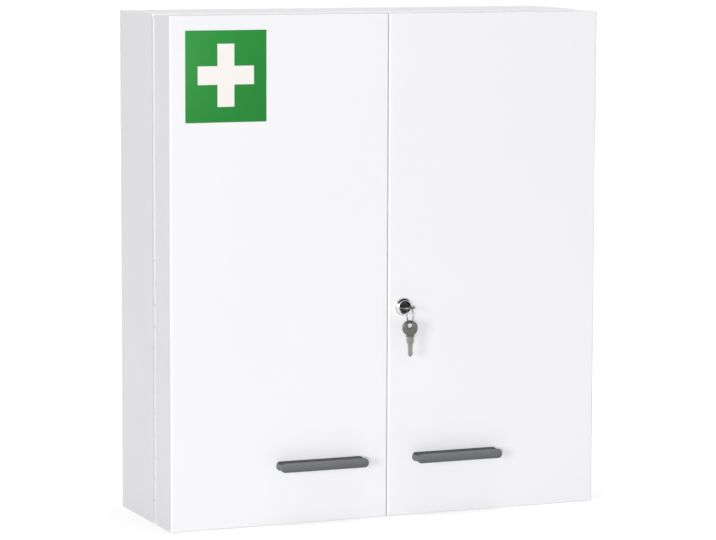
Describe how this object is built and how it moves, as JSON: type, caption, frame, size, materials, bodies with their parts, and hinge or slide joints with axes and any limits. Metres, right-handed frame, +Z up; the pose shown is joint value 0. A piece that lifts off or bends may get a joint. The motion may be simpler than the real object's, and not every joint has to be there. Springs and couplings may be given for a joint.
{
  "type": "lockable medicine cabinet",
  "caption": "Wall-hung sheet-steel medicine cabinet with two deep hinged doors, bar handles, a cam lock with keys, door racks and shelves.",
  "frame": {"origin": "middle of the base face, halfway between the door fronts and the wall", "axes": "+X to the viewer's right, +Y towards the wall, +Z up"},
  "size_m": [0.5484, 0.2101, 0.6],
  "materials": {
    "coated_steel": "white powder coat, fine satin texture",
    "zinc_steel": "bright zinc plate",
    "grey_plastic": "moulded, satin",
    "black_rubber": "matt",
    "magnet": "ground ferrite",
    "chrome": "polished",
    "nickel": "nickel plate, slightly warm"
  },
  "bodies": {
    "case": {"left_side_panel": "coated_steel", "right_side_panel": "coated_steel", "top_panel": "coated_steel", "bottom_panel": "coated_steel", "back_panel": "coated_steel", "left_shelf_rails": "coated_steel", "right_shelf_rails": "coated_steel", "lower_shelf": "coated_steel", "upper_shelf": "coated_steel", "shelf_clips": "zinc_steel", "left_hinge_case_leaf": "coated_steel", "right_hinge_case_leaf": "coated_steel", "left_hinge_pin": "zinc_steel", "right_hinge_pin": "zinc_steel", "catch_housings": "black_rubber", "catch_magnets": "magnet", "door_buffers": "black_rubber"},
    "left_door": {"left_door_skin": "coated_steel", "left_door_top_cap": "coated_steel", "left_door_bottom_cap": "coated_steel", "left_hinge_door_leaf": "coated_steel", "left_rack_low": "coated_steel", "left_rack_middle": "coated_steel", "left_rack_top": "coated_steel", "left_guard_strip": "coated_steel", "left_handle": "grey_plastic", "left_handle_screws": "zinc_steel", "lock_keeper": "zinc_steel", "latch_stud": "zinc_steel"},
    "right_door": {"right_door_skin": "coated_steel", "right_door_top_cap": "coated_steel", "right_door_bottom_cap": "coated_steel", "right_hinge_door_leaf": "coated_steel", "right_rack_low": "coated_steel", "right_rack_middle": "coated_steel", "right_rack_top": "coated_steel", "right_guard_strip": "coated_steel", "right_handle": "grey_plastic", "right_handle_screws": "zinc_steel", "lock_housing": "chrome", "lock_nut": "zinc_steel"},
    "latch": {"latch_arm": "zinc_steel"},
    "lock_core": {"lock_plug": "chrome", "lock_cam": "zinc_steel", "cam_screw": "zinc_steel"},
    "key": {"lock_key": "nickel"},
    "ring": {"key_ring": "chrome"},
    "spare": {"spare_key": "nickel"},
    "second_spare": {"second_spare_key": "nickel"}
  },
  "joints": [
    {"name": "left_door_hinge", "type": "hinge", "parent": "case", "child": "left_door", "pos_m": [-0.2713, -0.033, 0.3], "axis": [0, 0, -1], "range_deg": [0, 120]},
    {"name": "right_door_hinge", "type": "hinge", "parent": "case", "child": "right_door", "pos_m": [0.2713, -0.033, 0.3], "axis": [0, 0, 1], "range_deg": [0, 120]},
    {"name": "latch_turn", "type": "hinge", "parent": "left_door", "child": "latch", "pos_m": [-0.007, -0.027, 0.575], "axis": [0, 1, 0], "range_deg": [0, 90]},
    {"name": "lock_turn", "type": "hinge", "parent": "right_door", "child": "lock_core", "pos_m": [0.02, -0.0782, 0.252], "axis": [0, -1, 0], "range_deg": [0, 90]},
    {"name": "key_slide", "type": "slide", "parent": "lock_core", "child": "key", "axis": [0, -1, 0], "range_m": [0, 0.026]},
    {"name": "ring_swing", "type": "hinge", "parent": "key", "child": "ring", "pos_m": [0.02, -0.1096, 0.25368], "axis": [0, 1, 0], "range_deg": [-12, 12]},
    {"name": "spare_key_swing", "type": "hinge", "parent": "ring", "child": "spare", "pos_m": [0.02, -0.1109, 0.23418], "axis": [0, 1, 0], "range_deg": [-60, 60]},
    {"name": "second_spare_key_swing", "type": "hinge", "parent": "ring", "child": "second_spare", "pos_m": [0.02, -0.1083, 0.23418], "axis": [0, 1, 0], "range_deg": [-60, 60]}
  ]
}
